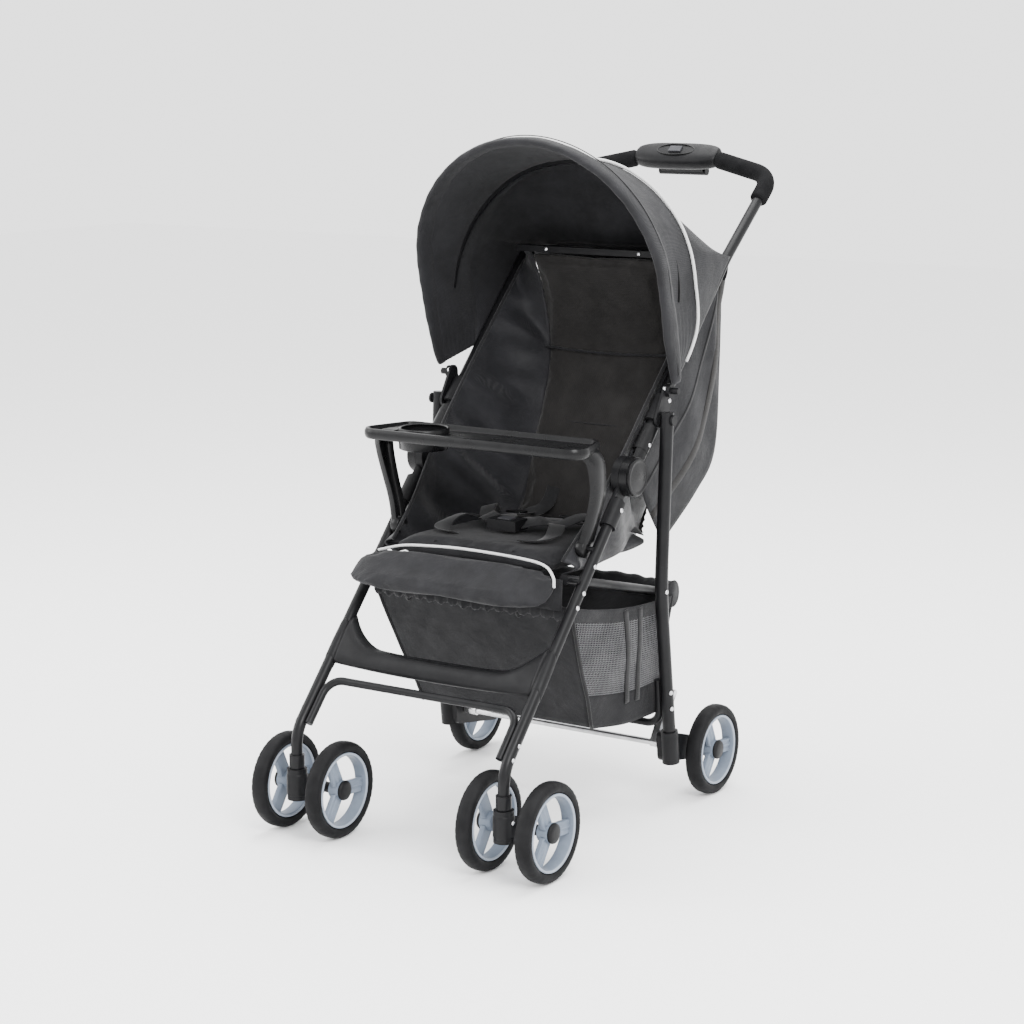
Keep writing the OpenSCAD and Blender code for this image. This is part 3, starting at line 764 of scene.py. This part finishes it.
# ---------------------------------------------------------------- seat
seat_f = resample([(163, 430), (230, 430), (300, 428), (380, 424), (449, 418)], 22)
seat_b = resample([(163, 407), (230, 404), (300, 400), (380, 397), (449, 395)], 22)
v, f = slab(seat_f, seat_b, 143)
cushion = new_mesh("seat_pad", v, f, "seat")
puff(cushion, 4.0, 0.006)
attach(cushion, "seat_frame")
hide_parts("seat_cushion")
for k, x in enumerate((-70, 70)):
    v, f = sweep(line([(x, 170, 431), (x, 240, 431.5), (x, 320, 429), (x, 400, 424)], 8), circle(0.0011, 8))
    new_mesh(f"seat_seam_{k}", v, f, "web", "seat_frame", "cloth_black")

back_f = resample([(462, 412), (478, 450), (501, 522), (540, 620), (553, 682), (540, 760), (506, 836)], 34)
back_b = resample([(470, 408), (492, 446), (519, 506), (560, 610), (575, 682), (560, 762), (523, 837)], 34)
v, f = slab(back_f, back_b, 121)
backp = new_mesh("backrest_pad", v, f, "back_mesh")
puff(backp, 3.0, 0.005)
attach(backp, "backrest_frame")
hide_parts("backrest")
for k, (y, z) in enumerate(((547.5, 684), (505, 530))):
    v, f = sweep(line([(-117, y + 2, z), (-60, y - 1, z - 3), (0, y - 2, z - 4), (60, y - 1, z - 3),
        (117, y + 2, z)], 8), flat(0.007, 0.0035))
    new_mesh(f"backrest_welt_{k}", v, f, "seat", "backrest_frame", "cloth_black")
for k, x in enumerate((-85, 85)):
    v, f = lathe([(-0.002, 0.0036), (0.0, 0.0036), (0.0009, 0.0029), (0.0015, 0.00001)], P(x, 504, 844.5),
        (0, -1, 0), 24)
    new_mesh(f"stay_rivet_{k}", v, f, "steel", "handle_frame", "steel_rod")

for sd, s in (("l", -1), ("r", 1)):
    low = line([(150, 180, 404), (144, 300, 400), (116, 436, 404), (110, 486, 452), (108, 512, 520),
        (107, 545, 620), (108, 556, 690),
                (114, 540, 780), (124, 520, 842)], 10)
    high = line([(152, 178, 424), (158, 240, 476), (166, 300, 541), (169, 340, 584), (170, 380, 626),
        (171, 430, 676), (171, 505, 750),
                 (171, 560, 804), (168, 590, 832)], 10)
    rows = []
    for i in range(len(low)):
        row = []
        for k in range(30):
            t = k / 29
            q = low[i].lerp(high[i], t)
            body = math.sin(math.pi * t) ** 0.8
            pleat = math.sin(0.42 * i + 1.1 * math.sin(2.4 * t + 0.05 * i)) + 0.5 * math.sin(0.93 * i + 2 * t)
            q = q + Vector((0.008 + 0.0085 * pleat, 0.0040 * pleat, 0)) * body + Vector((1, 0, 0)) * wob(q,
                15, 0.004, 3.0) * body
            row.append(Vector((s * q.x, q.y, q.z)))
        rows.append(row)
    v, f = grid(rows)
    wing = new_mesh(f"seat_wing_{sd}", v, f, "satin")
    modify(wing, "SOLIDIFY", thickness=0.0018, offset=0)
    settle(wing)
    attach(wing, "seat_frame")
    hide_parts(f"seat_side_{sd}")
    hem = [r[29] for r in rows]
    v, f = sweep(hem, circle(0.0026, 8))
    new_mesh(f"wing_hem_{sd}", v, f, "web", "seat_frame", "cloth_black")

for sd, s in (("l", -1), ("r", 1)):
    fore = line([(171, 330, 560), (171, 420, 655), (171, 500, 745), (171, 575, 815), (171, 604, 838)], 9)
    aft = line([(150, 470, 404), (158, 560, 470), (164, 608, 530), (165, 618, 660), (165, 621, 776)], 9)
    mid = line([(160, 400, 470), (168, 490, 530), (171, 560, 620), (171, 590, 730), (169, 612, 808)], 9)
    rows = []
    for i in range(len(fore)):
        row = []
        for k in range(25):
            t = k / 24
            q = fore[i].lerp(mid[i], 2 * t) if t < 0.5 else mid[i].lerp(aft[i], 2 * t - 1)
            ripple = 0.0022 * math.sin(0.5 * i + 3 * t) * math.sin(math.pi * t)
            q = q + Vector((ripple + wob(q, 13, 0.003, 41.0) * math.sin(math.pi * t), 0, 0))
            row.append(Vector((s * (q.x + 0.003), q.y, q.z)))
        rows.append(row)
    side_panel = cloth_panel(f"side_panel_{sd}", rows, "seat", "seat_frame")
    for nm, col in (("seam", 8), ("vent", 15)):
        v, f = sweep([r[col] + Vector((s * 0.0014, 0, 0)) for r in rows],
            flat(0.006 if nm == "seam" else 0.016, 0.0016), up=(s, 0, 0))
        new_mesh(f"side_{nm}_{sd}", v, f, "web" if nm == "seam" else "back_mesh", "seat_frame", "cloth_black")

cov = resample([(542, 484), (575, 500), (608, 522), (616, 600), (620, 690), (621, 782)], 46)
rows = []
for i, (y, z) in enumerate(cov):
    row = []
    for k in range(49):
        x = (140 + 25 * min(1, i / 16)) * (2 * k / 48 - 1)
        edge = abs(2 * k / 48 - 1) ** 8
        q = P(x, y - 12 * edge, z)
        row.append(q + Vector((0, 1, 0)) * (wob(q, 10, 0.004, 6.0) - 0.002))
    rows.append(row)
v, f = grid(rows)
cover = new_mesh("back_panel", v, f, "seat")
modify(cover, "SOLIDIFY", thickness=0.0018, offset=0)
settle(cover)
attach(cover, "backrest_frame")
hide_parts("back_cover")
hem = [r[48] for r in rows]
for sd, k in (("l", 0), ("r", 48)):
    v, f = sweep([r[k] for r in rows], circle(0.0028, 8))
    new_mesh(f"back_panel_hem_{sd}", v, f, "web", "backrest_frame", "cloth_black")

# ---------------------------------------------------------------- harness
def webbing(name, points, w, body, up, t=0.0016):
    v, f = sweep(line(points, 10), flat(w / 1000, t), up=up)
    return new_mesh(name, v, f, "web", body, "strap_black")


for sd, s in (("l", -1), ("r", 1)):
    webbing(f"shoulder_web_{sd}", [(s * 50, 520, 566), (s * 50, 504, 528), (s * 52, 484, 478),
        (s * 56, 462, 442),
                                   (s * 62, 420, 434)], 25, "backrest_frame", (0, -1, 0.3))
    webbing(f"shoulder_loop_{sd}", [(s * 62, 424, 434), (s * 66, 385, 437), (s * 48, 340, 447),
        (s * 24, 306, 452),
                                    (s * 14, 282, 452)], 25, "seat_frame", (0.15 * s, 0.1, 1))
    webbing(f"waist_web_{sd}", [(s * 136, 432, 424), (s * 112, 392, 440), (s * 88, 346, 456),
        (s * 66, 306, 448),
                                (s * 48, 282, 456), (s * 22, 272, 450)], 25, "seat_frame", (0, -0.5, 1))
    webbing(f"waist_tail_{sd}", [(s * 60, 300, 446), (s * 84, 272, 455), (s * 96, 240, 446), (s * 84, 214, 440),
                                 (s * 58, 208, 439)], 25, "seat_frame", (0, 0.3, 1))
    v, f = sweep(line([(s * 72, 372, 444), (s * 40, 356, 449), (s * 34, 372, 447), (s * 66, 390, 442)], 5,
        True),
                 circle(0.0019, 8), closed=True)
    new_mesh(f"strap_slider_{sd}", v, f, "plastic", "seat_frame", "plastic_black")
sw = new_mesh("shoulder_tack", *sweep(line([(-66, 521, 570), (0, 518, 570), (66, 521, 570)], 8),
    flat(0.010, 0.002), up=(0, 0, 1)),
              "web", "backrest_frame", "strap_black")
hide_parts("shoulder_straps")
cw = webbing("crotch_web", [(0, 300, 427), (0, 282, 431), (0, 266, 440), (0, 262, 446)], 25, "seat_frame",
    (0, -0.3, 1))
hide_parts("crotch_strap")

# ---------------------------------------------------------------- calf rest
calf_top = resample([(149, 424), (120, 410), (95, 393), (70, 381)], 18)
calf_low = resample([(150, 407), (125, 391), (98, 371), (74, 368)], 18)
rows = []
for i in range(49):
    x = 180 * math.sin(math.pi / 2 * (2 * i / 48 - 1))
    e = max(0.0, 1 - (abs(x) / 180) ** 4) ** 0.5
    row = []
    for seq, thick in ((calf_top, 1), (list(reversed(calf_low)), -1)):
        for y, z in seq:
            t = (150 - y) / 80
            yc = 150 - 80 * (0.42 + (t - 0.42) * (0.16 + 0.84 * e))
            zc = np.interp(yc, [70, 95, 120, 150], [375, 382, 400, 416])
            lift = (z - np.interp(y, [70, 95, 120, 150], [375, 382, 400, 416])) * e
            row.append(P(x, yc, zc + lift - 7 * (1 - e)))
    rows.append(row)
v, f = grid(rows, close_v=True)
n = len(rows[0])
f += [tuple(reversed(range(n))), tuple(range(len(v) - n, len(v)))]
calf = new_mesh("calf_pad", v, f, "seat")
puff(calf, 4.0, 0.006)
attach(calf, "calf_support")
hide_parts("calf_rest")
v, f = sweep(line([(-150, 138, 414), (-110, 146, 424), (-60, 149, 428), (0, 150, 430), (90, 149, 428),
    (140, 146, 423),
                   (164, 134, 411), (175, 120, 399)], 10), circle(0.0021, 10))
new_mesh("calf_piping", v, f, "piping", "calf_support", "strap_black")

# ---------------------------------------------------------------- basket
bk_top, bk_bot = ((162, 360), (448, 326)), ((262, 152), (404, 150))


def basket_pt(u, t, x):
    """u runs front to back, t from the top down."""
    y0 = bk_top[0][0] + (bk_top[1][0] - bk_top[0][0]) * u
    z0 = bk_top[0][1] + (bk_top[1][1] - bk_top[0][1]) * u - 10 * math.sin(math.pi * u)
    y1 = bk_bot[0][0] + (bk_bot[1][0] - bk_bot[0][0]) * u
    z1 = bk_bot[0][1] + (bk_bot[1][1] - bk_bot[0][1]) * u - 5 * math.sin(math.pi * u)
    return P(x, y0 + (y1 - y0) * t, z0 + (z1 - z0) * t)


def basket_half(u, t):
    """Half the basket's width, in millimetres: it narrows towards its front foot."""
    return 178 + 5 * u - 24 * t * (1 - u)


def soft(q, seed, amp=0.0035):
    return q + Vector((wob(q, 12, amp, seed), wob(q, 12, amp * 0.6, seed + 3), 0))


basket_pieces = []
shell = []
for i in range(61):
    t = i / 60
    sag = math.sin(math.pi * t)
    row = []
    for k in range(41):
        side = 2 * k / 40 - 1
        x = side * basket_half(0.0 if t < 0.42 else (1.0 if t > 0.64 else (t - 0.42) / 0.22),
            1 - abs(1 - min(t / 0.42, (1 - t) / 0.36, 1)))
        if t < 0.42:
            q = basket_pt(0.0, t / 0.42, x)
        elif t < 0.64:
            q = basket_pt((t - 0.42) / 0.22, 1.0, x)
        else:
            q = basket_pt(1.0, 1 - (t - 0.64) / 0.36, x)
        row.append(soft(q, 11, 0.004 * (0.4 + sag)))
    shell.append(row)
basket_pieces.append(cloth_panel("basket_shell", shell, "basket", "seat_frame"))
for sd, s in (("l", -1), ("r", 1)):
    def sp(u, t):
        q = basket_pt(u, t, s * (basket_half(u, t) + 2 * math.sin(math.pi * t) * math.sin(math.pi * u)))
        return q + Vector((s, 0, 0)) * wob(q, 16, 0.003, 21.0)
    band = [[sp(i / 40, 0.11 * k / 5) for k in range(6)] for i in range(41)]
    foot = [[sp(i / 40, 0.72 + 0.28 * k / 8) for k in range(9)] for i in range(41)]
    basket_pieces += [cloth_panel(f"basket_band_{sd}", band, "basket", "seat_frame"),
                      cloth_panel(f"basket_low_{sd}", foot, "basket", "seat_frame")]
    net = new_mesh(f"basket_net_{sd}", *grid([[sp(i / 62,
        0.10 + 0.63 * (k + 0.5 * (i % 2)) / 34) for k in range(35)]
                                             for i in range(63)]), "net")
    modify(net, "WIREFRAME", thickness=0.00111, use_even_offset=False)
    settle(net)
    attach(net, "seat_frame")
    basket_pieces.append(net)
    for k, u in enumerate((0.52, 0.66)):
        pth = [sp(u + 0.01 * math.sin(5 * t), t) + Vector((s * 0.0015, 0, 0)) for t in np.linspace(0.02,
            0.82, 24)]
        v, f = sweep(pth, flat(0.013, 0.0014), up=(s, 0, 0))
        basket_pieces.append(new_mesh(f"basket_strap_{k}_{sd}", v, f, "web", "seat_frame", "strap_black"))
    for k, u in enumerate((0.0, 1.0)):
        v, f = sweep([sp(u, t) for t in np.linspace(0, 1, 24)], circle(0.0030, 8))
        basket_pieces.append(new_mesh(f"basket_edge_{k}_{sd}", v, f, "web", "seat_frame", "cloth_black"))
for k, x in enumerate((-120, -20, 80)):
    v, f = lathe([(-0.002, 0.0058), (0.0, 0.0058), (0.0016, 0.0044), (0.0020, 0.00001)], P(x, 172, 338),
        (0, -0.9, -0.43), 24)
    new_mesh(f"basket_snap_{k}", v, f, "gloss", "seat_frame", "plastic_black")
roll = []
for i, q in enumerate(line([(-174, 164, 352), (-60, 158, 351), (60, 158, 351), (174, 164, 352)], 40)):
    r = 0.0068 * (1 + 0.22 * math.sin(0.9 * i) + 0.12 * math.sin(2.3 * i))
    roll.append([q + Vector((0, r * 0.9 * math.cos(a), r * 1.5 * math.sin(a) + wob(q, 30, 0.003, 9)))
                 for a in np.linspace(0, 2 * math.pi, 16, endpoint=False)])
v, f = grid(roll, close_v=True)
new_mesh("basket_front_roll", v, f, "basket", "seat_frame", "cloth_black")
skirt = []
for i in range(81):
    x = -166 + 332 * i / 80
    skirt.append([P(x + 2 * math.sin(1.1 * i) * t, 156 - 3 * t + 1.6 * math.sin(0.8 * i) * t,
        402 - 46 * t) for t in np.linspace(0, 1, 9)])
cloth_panel("seat_skirt", skirt, "basket", "seat_frame")
wrap = []
for i, q in enumerate(line([(-184, 452, 328), (-90, 464, 325), (90, 464, 325), (184, 452, 328)], 30)):
    r = 0.0185 * (1 + 0.05 * math.sin(0.7 * i))
    wrap.append([q + Vector((0, r * math.cos(a), r * 1.15 * math.sin(a))) + Vector((0, 0, 1)) * wob(q, 25,
        0.004, 12)
                 for a in np.linspace(0, 2 * math.pi, 18, endpoint=False)])
v, f = grid(wrap, close_v=True)
f += [tuple(reversed(range(18))), tuple(range(len(v) - 18, len(v)))]
new_mesh("basket_rear_wrap", v, f, "basket", "seat_frame", "cloth_black")
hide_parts("basket")


# ---------------------------------------------------------------- foam grips
def bend(p, r, n=14):
    """p with each inner corner rounded to radius r[i]."""
    out = [p[0]]
    for i in range(1, len(p) - 1):
        a, b = (p[i - 1] - p[i]).normalized(), (p[i + 1] - p[i]).normalized()
        half = a.angle(b) / 2
        cut = r[i] / math.tan(half)
        c = p[i] + (a + b).normalized() * (r[i] / math.sin(half))
        s, e = (p[i] + a * cut - c).normalized(), (p[i] + b * cut - c).normalized()
        for k in range(n + 1):
            out.append(c + s.slerp(e, k / n) * r[i])
    return out + [p[-1]]


for sd, s in (("l", -1), ("r", 1)):
    knee, hb, top = P(s * LEG_X, 603, 834), P(s * LEG_X, 752, 955), P(s * 62, 778, 981)
    low = hb + (knee - hb).normalized() * 0.056
    d = (top - hb).normalized()
    far = hb + d * ((LEG_X - 77) / 1000 / abs(d.x))
    pth = bend([low, hb, far], [0, 0.042, 0])
    dense = []
    for a, b in zip(pth, pth[1:]):
        m = max(1, int((b - a).length / 0.003))
        dense += [a.lerp(b, k / m) for k in range(m)]
    dense.append(pth[-1])
    L = len(dense) - 1
    v, f = sweep(dense, circle(0.014, 28), scale=lambda t: min(1.0, 0.86 + 9 * min(t, 1 - t)))
    grip = new_mesh(f"grip_foam_{sd}", v, f, "foam", "handle_frame", "foam_black")
    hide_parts(f"grip_{sd}")

TILT = math.radians(40)
GY, GZ = Vector((0, math.cos(TILT), math.sin(TILT))), Vector((0, -math.sin(TILT), math.cos(TILT)))
MID = P(0, 778, 981)
rows = []
for t in np.linspace(-1, 1, 65):
    e = (1 - abs(t) ** 3.4) ** 0.5
    deep, tall = 0.0115 + 0.0130 * e, 0.0110 + 0.0045 * e
    ring = []
    for k in range(40):
        a = 2 * math.pi * k / 40
        c, sn = math.cos(a), math.sin(a)
        y = deep * math.copysign(abs(c) ** 0.8, c)
        z = tall * math.copysign(abs(sn) ** (0.62 if sn > 0 else 0.9), sn)
        ring.append(MID + Vector((0.076 * t, 0, 0)) + GY * y + GZ * (z + 0.0008))
    rows.append(ring)
v, f = grid(rows, close_v=True)
f += [tuple(reversed(range(40))), tuple(range(len(v) - 40, len(v)))]
shell_top = new_mesh("console_shell", v, f, "plastic", "handle_frame", "plastic_black")
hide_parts("console")
oval = [MID + Vector((0.034 * math.cos(a), 0, 0)) + GY * (0.0125 * math.sin(a)) + GZ * (0.0163 - 0.0006 * math.cos(2 * a))
        for a in np.linspace(0, 2 * math.pi, 64, endpoint=False)]
v, f = sweep(oval, circle(0.0011, 8), closed=True)
new_mesh("console_ring", v, f, "gloss", "handle_frame", "plastic_black")

# ---------------------------------------------------------------- floor and light
fv = [(-9, -9, 0), (9, -9, 0), (9, 9, 0), (-9, 9, 0)]
floor = bpy.data.objects.new("floor", bpy.data.meshes.new("floor"))
floor.data.from_pydata(fv, [], [(0, 1, 2, 3)])
bpy.context.scene.collection.objects.link(floor)
fm = Mat("floor", (0.96, 0.96, 0.96), 0.6, spec=0.05)
floor.data.materials.append(fm.m)
floor.location.z = -0.0005

world = bpy.data.worlds.new("studio")
bpy.context.scene.world = world
world.use_nodes = True
world.node_tree.nodes["Background"].inputs[0].default_value = (1, 1, 1, 1)
world.node_tree.nodes["Background"].inputs[1].default_value = 2.4


def area(name, loc, target, size, power):
    l = bpy.data.lights.new(name, "AREA")
    l.shape = "RECTANGLE"
    l.size, l.size_y = size
    l.energy = power
    o = bpy.data.objects.new(name, l)
    bpy.context.scene.collection.objects.link(o)
    o.location = loc
    o.rotation_euler = (Vector(target) - Vector(loc)).to_track_quat("-Z", "Y").to_euler()
    return o


area("key", (2.2, -2.0, 2.6), (0, 0, 0.5), (1.6, 1.6), 150)
area("fill", (-2.6, -1.6, 1.8), (0, 0, 0.5), (1.8, 1.8), 70)
area("top", (0, 0.6, 3.2), (0, 0, 0.4), (2.4, 2.4), 150)
